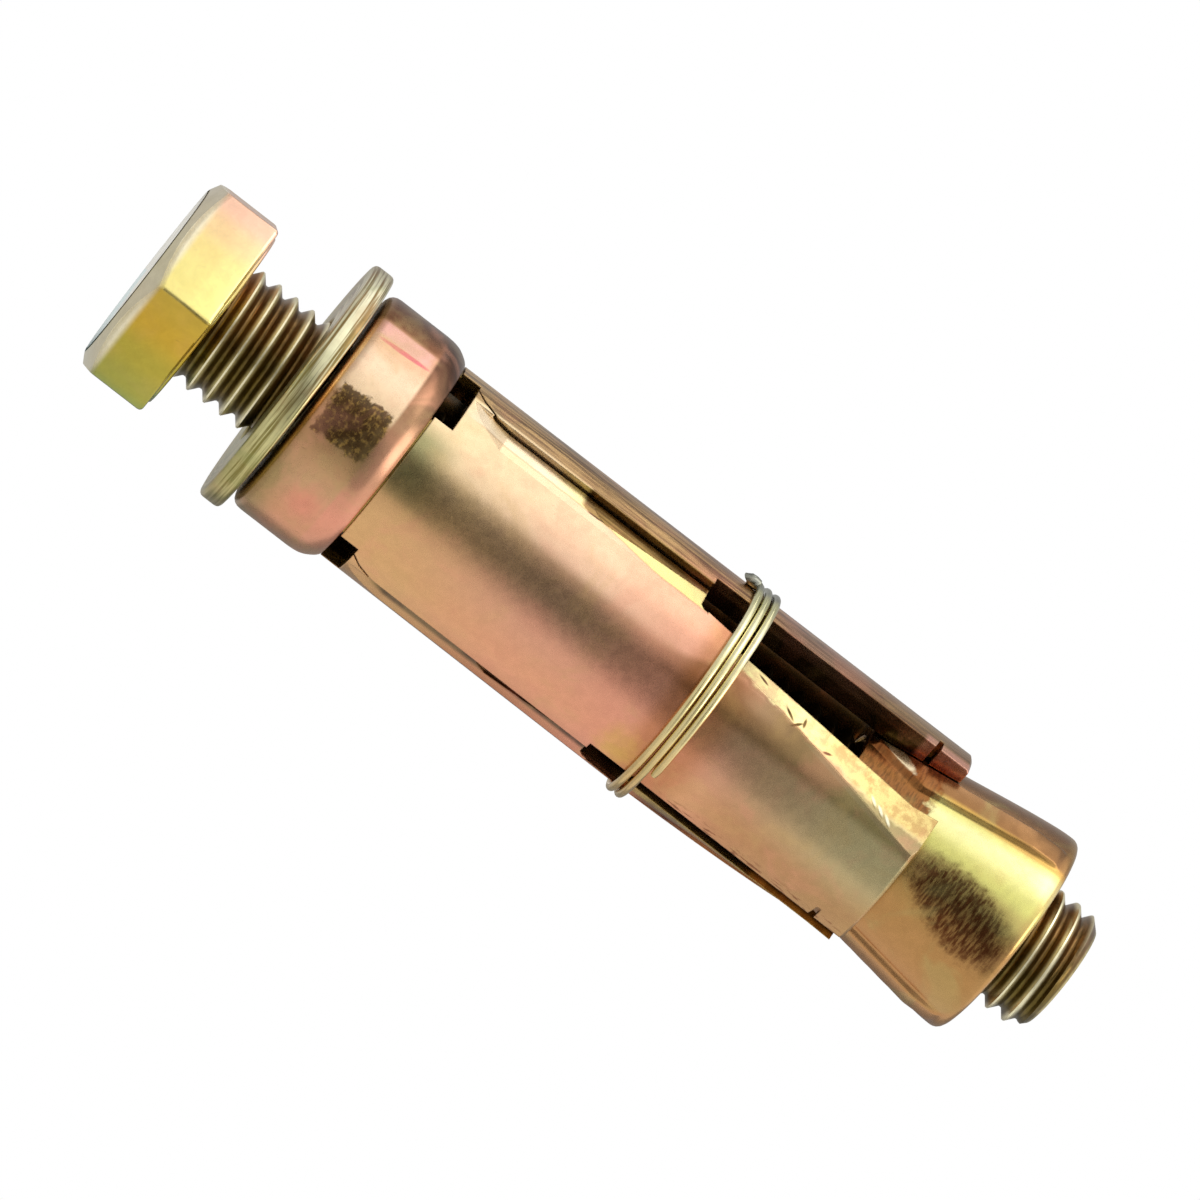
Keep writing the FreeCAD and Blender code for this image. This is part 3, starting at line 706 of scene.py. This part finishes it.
# Hex head
head = {
    "apothem": 9.5, "corner": 0.6, "face": 8.55, "turn": 27.0,
    "top": [(4.0, 0.0), (8.3, 0.0), (8.47, 0.015)],  # radius, height
    "chamfer": [  # share of the way to the hexagon, lift, inset
        (0.05, 0.02), (0.3,), (0.6,), (0.88,), (0.97,), (1.0, 0.06, 0.03), (1.0, 0.16), (1.0, 0.5)],
    "sides": [(0.0, 3.4), (0.0, 6.3), (0.05, 6.5), (0.18, 6.64), (0.36, 6.7)],  # inset, height
    "bearing": [  # radius, height
        (8.9, 6.7), (8.74, 6.72), (8.7, 6.78), (8.7, 6.9), (8.62, 6.98), (8.5, 7.0), (5.0, 7.0)]}


def hexRadius(turnAt):
    fromCorner = math.radians((math.degrees(turnAt) - head["turn"] + 30.0) % 60.0 - 30.0)
    flatSize = head["apothem"] - head["corner"]
    tangent = math.radians(30.0) - math.atan(flatSize * math.tan(math.radians(30.0)) / head["apothem"])
    if abs(fromCorner) >= tangent:
        return head["apothem"] / math.cos(math.radians(30.0) - abs(fromCorner))
    centre = flatSize / math.cos(math.radians(30.0))
    aside = centre * math.sin(fromCorner)
    return centre * math.cos(fromCorner) + math.sqrt(head["corner"] ** 2 - aside ** 2)


def chamferRing(share, lift=0.0, inset=0.0):
    def radiusAt(turnAt):
        return head["face"] + (hexRadius(turnAt) - inset - head["face"]) * share

    def heightAt(turnAt):
        return (radiusAt(turnAt) - head["face"]) * math.tan(math.radians(30.0)) + lift
    return radiusAt, heightAt


def levelRing(radius, height):
    return lambda turnAt: radius, lambda turnAt: height


def sideRing(inset, height):
    return lambda turnAt: hexRadius(turnAt) - inset, lambda turnAt: height


headRings = [
    *(levelRing(*row) for row in head["top"]), *(chamferRing(*row) for row in head["chamfer"]),
    *(sideRing(*row) for row in head["sides"]), *(levelRing(*row) for row in head["bearing"])]
makePiece("boltHead", *ringStack(headRings, 720), boltFinish, "bolt", "bolt_plating", ("hex_bolt",),
          sharp=28.0)

# Threaded shank, M12 x 1.75, right-handed
thread = {
    "pitch": 1.75, "low": 6.95, "high": 98.0, "tip": 4.9, "perTurn": 64,
    "profile": [  # share of the pitch, radius
        (0.0, 5.85), (0.03, 5.91), (0.12, 5.91), (0.15, 5.85), (0.32, 5.5), (0.46, 5.2), (0.52, 5.12),
        (0.64, 5.12), (0.7, 5.2), (0.84, 5.5)]}


def threadedShank():
    pitch, low, high = thread["pitch"], thread["low"], thread["high"]
    turns = math.ceil((high - low) / pitch) + 2
    count = thread["perTurn"]
    size = len(thread["profile"])
    column = turns * size
    verts = []
    for step in range(count):
        turnAt = 2 * math.pi * step / count
        for number in range(turns):
            for share, radius in thread["profile"]:
                z = low + pitch * (number + share + step / count - 1)
                r = min(radius, thread["tip"] + max(0.0, high - z))
                if z <= low or z >= high:
                    r = thread["tip"]
                z = min(max(z, low), high)
                verts.append((r * math.cos(turnAt), r * math.sin(turnAt), z))
    faces = []
    for step in range(count):
        for k in range(column - 1):
            if step < count - 1:
                a, b = step * column + k, (step + 1) * column + k
                faces.append((a, b, b + 1, a + 1))
            elif k + size + 1 < column:
                a, b = step * column + k, k + size
                faces.append((a, b, b + 1, a + 1))
    faces.append([step * column + column - 1 for step in range(count)])
    faces.append([step * column for step in reversed(range(count))])
    return verts, faces


makePiece("boltThread", *threadedShank(), threadFinish, "bolt", "bolt_plating", sharp=40.0)
print("bolt made")

# Washer
washer = {"profile": [  # radius, height, size of the rounded corner
    (6.5, 14.9, 0.25), (12.2, 14.9, 0.5), (12.2, 17.0, 0.5), (6.5, 17.0, 0.25)]}
washerProfile = refined(rounded(washer["profile"]), 1.2)
makePiece("plainWasher", *lathe(washerProfile, 180), washerFinish, "washer", "washer_plating", ("washer",))

# Collar with its rolled lip
collar = {
    "profile": [  # radius, height, size of the rounded corner
        (6.8, 17.4, 0.25), (11.1, 17.4, 1.15), (11.1, 24.0, 0.9), (10.95, 24.9, 0.5), (10.45, 25.75, 0.5),
        (10.08, 26.1, 0.12), (9.76, 26.1, 0.1), (9.76, 25.2, 0.0), (10.0, 24.4, 0.0), (10.0, 18.5, 0.3),
        (6.8, 18.5, 0.2)],
    "inside": 9.9, "wave": 0.035, "waveFrom": 23.6, "waveRise": 1.5}


def collarSwell(turnAt, r, z):
    if z < collar["waveFrom"] or r < collar["inside"]:
        return 0.0
    wave = 1 + math.sin(7 * turnAt + 1.3) * math.sin(3 * turnAt)
    return -collar["wave"] * wave * min(1.0, (z - collar["waveFrom"]) / collar["waveRise"])


collarProfile = refined(rounded(collar["profile"], 5), 0.8)
makePiece("pressedCollar", *lathe(collarProfile, 240, collarSwell), collarFinish, "shield_collar",
          "collar_plating", ("collar",))

# Expander nut with a key for each slot
nut = {
    "profile": [  # radius, height, size of the rounded corner
        (6.05, 72.2, 0.1), (7.15, 72.2, 0.15), (9.55, 87.35, 2.2), (9.95, 90.6, 1.2), (9.95, 92.4, 1.05),
        (6.85, 92.4, 0.15), (6.05, 91.6, 0.15)],
    "low": 72.2, "high": 92.2, "small": 7.15, "slope": math.tan(math.radians(9.0)), "large": 9.95}
key = {
    "height": 0.5, "near": 2.05, "far": 0.7, "start": 72.8, "full": 77.8, "lead": 5.0,
    "narrowing": 0.3 / 13.0, "low": 72.7, "lowEase": 0.3, "high": 91.2, "highEase": 0.5, "nearEase": 0.4,
    "farEase": 0.5}


def smoothStep(value):
    value = min(1.0, max(0.0, value))
    return value * value * (3 - 2 * value)


def nutSwell(turnAt, r, z):
    if r < nut["small"] - 0.2 or z > nut["high"]:
        return 0.0
    cap = min(nut["small"] + key["height"] + (z - nut["low"]) * nut["slope"], nut["large"] + 0.25)
    rise = max(0.0, cap - r)
    ends = smoothStep((z - key["low"]) / key["lowEase"]) * smoothStep((key["high"] - z) / key["highEase"])
    if z < key["full"]:
        nearEdge = min(key["near"], (z - key["start"]) * key["near"] / key["lead"])
    else:
        nearEdge = key["near"] - (z - key["full"]) * key["narrowing"]
    best = 0.0
    for joint in jointAngles:
        delta = (turnAt - math.radians(joint) + math.pi) % (2 * math.pi) - math.pi
        if abs(delta) > 0.6:
            continue
        side = r * math.sin(delta)
        nearSide = smoothStep((nearEdge - side) / key["nearEase"] + 0.5)
        farSide = smoothStep((side + key["far"]) / key["farEase"] + 0.5)
        best = max(best, ends * nearSide * farSide)
    return rise * best


nutProfile = refined(rounded(nut["profile"], 6), 0.35)
makePiece("expanderNut", *lathe(nutProfile, 480, nutSwell), nutFinish, "nut", "nut_plating",
          ("expander_nut",), sharp=50.0)
print("turned pieces made")

# Spring ring: one wound wire, in arcs that stay on their segments as these spread
ringForm = {
    "wire": 0.37, "radius": 10.553, "pitch": 0.85, "start": 184.0, "end": 1030.0, "height": 57.301,
    "bridge": 8.5, "wobbles": [(0.03, 1.7), (0.02, 4.1)]}
knob = {  # the wire's bent start: out, round and up from its end, and the wire's radius there
    "path": [(0.9, -0.9, -0.3), (1.1, -0.5, -0.75), (0.95, 0.0, -1.15), (0.5, 0.2, -1.35), (0.3, -0.3, -1.2),
             (0.34, -0.55, -0.75), (0.26, -0.35, -0.25), (0.06, 0.3, -0.03)],
    "radii": [0.44, 0.5, 0.52, 0.52, 0.5, 0.5, 0.46, 0.4]}


def wirePoint(angleAt):
    wobble = sum(size * math.sin(math.radians(angleAt * rate)) for size, rate in ringForm["wobbles"])
    z = ringForm["height"] + ringForm["pitch"] * (angleAt - ringForm["start"]) / 360.0 + wobble
    a = math.radians(angleAt)
    return Vector((ringForm["radius"] * math.cos(a), ringForm["radius"] * math.sin(a), z))


def addTube(verts, faces, points, radii, sides=14):
    base = len(verts)
    for index, point in enumerate(points):
        ahead = points[min(index + 1, len(points) - 1)]
        behind = points[max(index - 1, 0)]
        direction = (ahead - behind).normalized()
        outward = Vector((point.x, point.y, 0)).normalized()
        across = direction.cross(outward).normalized()
        outward = across.cross(direction).normalized()
        for side in range(sides):
            turnAt = 2 * math.pi * side / sides
            offset = (outward * math.cos(turnAt) + across * math.sin(turnAt)) * radii[index]
            verts.append(point + offset)
    for index in range(len(points) - 1):
        for side in range(sides):
            other = (side + 1) % sides
            a, b = base + index * sides, base + (index + 1) * sides
            faces.append((a + side, a + other, b + other, b + side))
    faces.append([base + side for side in reversed(range(sides))])
    faces.append([base + (len(points) - 1) * sides + side for side in range(sides)])


arcs = [([], []) for _ in range(3)]
breakpoints = [ringForm["start"], *(210.0 + 120.0 * k for k in range(7)), ringForm["end"]]
for arcStart, arcEnd in zip(breakpoints, breakpoints[1:]):
    middleAngle = (max(arcStart, arcEnd - 60.0) + arcEnd) / 2
    owner = min(range(3), key=lambda k: abs((middleAngle - segmentAngles[k] + 180) % 360 - 180))
    steps = max(6, int((arcEnd - arcStart) / 3))
    angles = [arcStart + (arcEnd - arcStart) * k / steps for k in range(steps + 1)]
    points = [wirePoint(a) for a in angles]
    radii = [ringForm["wire"]] * len(points)
    if arcEnd < ringForm["end"]:
        points += [wirePoint(arcEnd + ringForm["bridge"] * k / 4) for k in range(1, 5)]
        radii += [ringForm["wire"] * 0.96] * 4
    else:
        radii[-1] *= 0.8
    if arcStart == ringForm["start"]:
        radial = points[0].normalized()
        radial.z = 0.0
        sideways = Vector((-radial.y, radial.x, 0))
        corner = points[0]
        bent = [corner + radial * x + sideways * y + Vector((0, 0, z)) for x, y, z in knob["path"]]
        points = bent + points[2:]
        radii = knob["radii"] + radii[2:]
    addTube(*arcs[owner], points, radii)
for number, (verts, faces) in enumerate(arcs, 1):
    makePiece("springRing%d" % number, verts, faces, ringFinish, "segment_%d" % number, "ring_plating",
              ("spring_ring",) if number == 1 else (), sharp=60.0)
print("ring made")


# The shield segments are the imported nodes, with the plating on them
for number in range(1, 4):
    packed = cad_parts["shield_segment_%d" % number].data
    packed.materials.clear()
    packed.materials.append(shieldFinish)
print("shield plated")


# Studio

def plainMaterial(name, colour, strength=None, oneSided=False):
    material = bpy.data.materials.new(name)
    material.use_nodes = True
    tree = material.node_tree
    shader = tree.nodes["Principled BSDF"]
    output = tree.nodes["Material Output"]
    shader.inputs["Base Color"].default_value = colour
    shader.inputs["Roughness"].default_value = 0.9
    surface = shader.outputs[0]
    if strength is not None:
        light = {"Color": colour, "Strength": strength}
        surface = addNode(tree, "Emission", None, light).outputs[0]
    if oneSided:
        backFace = addNode(tree, "NewGeometry").outputs["Backfacing"]
        clear = addNode(tree, "BsdfTransparent").outputs[0]
        surface = addNode(tree, "MixShader", None, {0: backFace, 1: surface, 2: clear}).outputs[0]
    tree.links.new(surface, output.inputs["Surface"])
    return material


def stageMesh(name, verts, faces, material):
    mesh = bpy.data.meshes.new(name)
    mesh.from_pydata(verts, [], faces)
    mesh.materials.append(material)
    item = bpy.data.objects.new(name, mesh)
    bpy.context.scene.collection.objects.link(item)
    return item


def makeAnnulus(name, material, inner, outer, height):
    count = 96
    verts = []
    for radius in (inner, outer):
        for step in range(count):
            turnAt = 2 * math.pi * step / count
            verts.append((radius * math.cos(turnAt) * mm, radius * math.sin(turnAt) * mm, height * mm))
    faces = []
    for step in range(count):
        other = (step + 1) % count
        faces.append((step, count + step, count + other, other))
    return stageMesh(name, verts, faces, material)


def reflectedOnly(item):
    item.visible_camera = False
    item.visible_diffuse = False
    item.visible_shadow = False


def makeCard(name, rows, strength, away):
    # A curved card round the anchor that only shows in the metal. Rows: height, then its two view angles
    count = 16
    verts = []
    for height, start, end in rows:
        for step in range(count + 1):
            turnAt = math.radians(viewerAngle - (start + (end - start) * step / count))
            verts.append((away * math.cos(turnAt) * mm, away * math.sin(turnAt) * mm, height * mm))
    faces = []
    for level in range(len(rows) - 1):
        for step in range(count):
            a = level * (count + 1) + step
            faces.append((a, a + 1, a + count + 2, a + count + 1))
    reflectedOnly(stageMesh(name, verts, faces, plainMaterial(name + "Paint", (1, 1, 1, 1), strength)))


# A white floor, seen from above only and open under the head's flat top
floor = {"inner": 8.3, "outer": 600.0, "height": -0.02}
floorPaint = plainMaterial("floorPaint", (0.8, 0.8, 0.8, 1), oneSided=True)
makeAnnulus("floor", floorPaint, **floor)

# A dim ring on the floor lights the head's chamfer
chamferCard = {"inner": 8.6, "outer": 11.4, "height": 0.005}
chamferPaint = plainMaterial("chamferCardPaint", (1, 1, 1, 1), strength=0.5)
reflectedOnly(makeAnnulus("chamferCard", chamferPaint, **chamferCard))

cards = {
    "darkCard": {"rows": [(-100, -16, 26), (36, -18, 26), (46, -26, 22), (58, -32, 16), (70, -38, 10),
                          (90, -46, 8)], "strength": 0.1, "away": 300},
    "duskCard": {"rows": [(90, -46, 8), (400, -46, 8)], "strength": 0.5, "away": 300},
    "brightCard": {"rows": [(-100, 44, 108), (400, 44, 108)], "strength": 1.2, "away": 320},
    "lowCard": {"rows": [(-100, -125, -14), (400, -125, -14)], "strength": 0.82, "away": 320},
    "backCard": {"rows": [(-100, -178, -128), (400, -178, -128)], "strength": 0.3, "away": 320},
    "farCard": {"rows": [(-100, 112, 178), (400, 112, 178)], "strength": 0.5, "away": 320},
    "stripCard": {"rows": [(44, 106, 124), (78, 106, 124)], "strength": 2.2, "away": 300}}
for name, card in cards.items():
    makeCard(name, **card)

world = bpy.data.worlds.new("studio")
bpy.context.scene.world = world
world.use_nodes = True
worldTree = world.node_tree
worldTree.nodes.clear()
lightPath = addNode(worldTree, "LightPath").outputs
shown = calc(worldTree, "MAXIMUM", lightPath["Is Camera Ray"],
             calc(worldTree, "MAXIMUM", lightPath["Is Glossy Ray"], lightPath["Is Transmission Ray"]))
levels = {"ambient": 0.6, "backdrop": 1.0}
ambient, backdrop = (
    addNode(worldTree, "Background", None, {"Color": (1, 1, 1, 1), "Strength": level}).outputs[0]
    for level in levels.values())
worldMix = addNode(worldTree, "MixShader", None, {0: shown, 1: ambient, 2: backdrop}).outputs[0]
addNode(worldTree, "OutputWorld", None, {"Surface": worldMix})


def towards(viewAngle, elevation):
    turnAt = math.radians(viewerAngle - viewAngle)
    lift = math.radians(elevation)
    return Vector((math.cos(lift) * math.cos(turnAt), math.cos(lift) * math.sin(turnAt), math.sin(lift)))


def makeLamp(name, viewAngle, elevation, away, size, energy):
    lamp = bpy.data.lights.new(name, "AREA")
    lamp.shape = "SQUARE"
    lamp.size = size
    lamp.energy = energy
    item = bpy.data.objects.new(name, lamp)
    bpy.context.scene.collection.objects.link(item)
    item.location = lampAim + towards(viewAngle, elevation) * away
    item.rotation_euler = (lampAim - item.location).to_track_quat("-Z", "Y").to_euler()


# Distances and sizes of the lamps are in metres
lampAim = Vector((0, 0, 0.05))
lamps = {
    "keyLamp": {"viewAngle": 68.0, "elevation": 25.0, "away": 0.28, "size": 0.16, "energy": 0.09},
    "topLamp": {"viewAngle": 20.0, "elevation": 65.0, "away": 0.5, "size": 0.25, "energy": 0.5}}
for name, lamp in lamps.items():
    makeLamp(name, **lamp)
print("studio ready")


# Camera, rolled so that the bolt lies aslant
cameraForm = {
    "target": (-1.3837, 0.1211, 47.2838), "away": 800.0, "elevation": -4.9, "roll": 127.7560, "lens": 284.0}
aim = Vector(cameraForm["target"]) * mm
outwards = towards(0.0, cameraForm["elevation"])
forward = -outwards
level = forward.cross(Vector((0, 0, 1))).normalized()
upright = level.cross(forward)
roll = math.radians(cameraForm["roll"])
right = level * math.cos(roll) + upright * math.sin(roll)
up = upright * math.cos(roll) - level * math.sin(roll)
camera = bpy.data.cameras.new("camera")
camera.lens = cameraForm["lens"]
camera.sensor_width = 36.0
camera.clip_start = 0.01
cameraItem = bpy.data.objects.new("camera", camera)
bpy.context.scene.collection.objects.link(cameraItem)
place = aim + outwards * cameraForm["away"] * mm
cameraItem.matrix_world = Matrix((
    (right.x, up.x, outwards.x, place.x),
    (right.y, up.y, outwards.y, place.y),
    (right.z, up.z, outwards.z, place.z),
    (0, 0, 0, 1)))
bpy.context.scene.camera = cameraItem
bpy.context.scene.view_settings.view_transform = "Standard"
print("camera set")
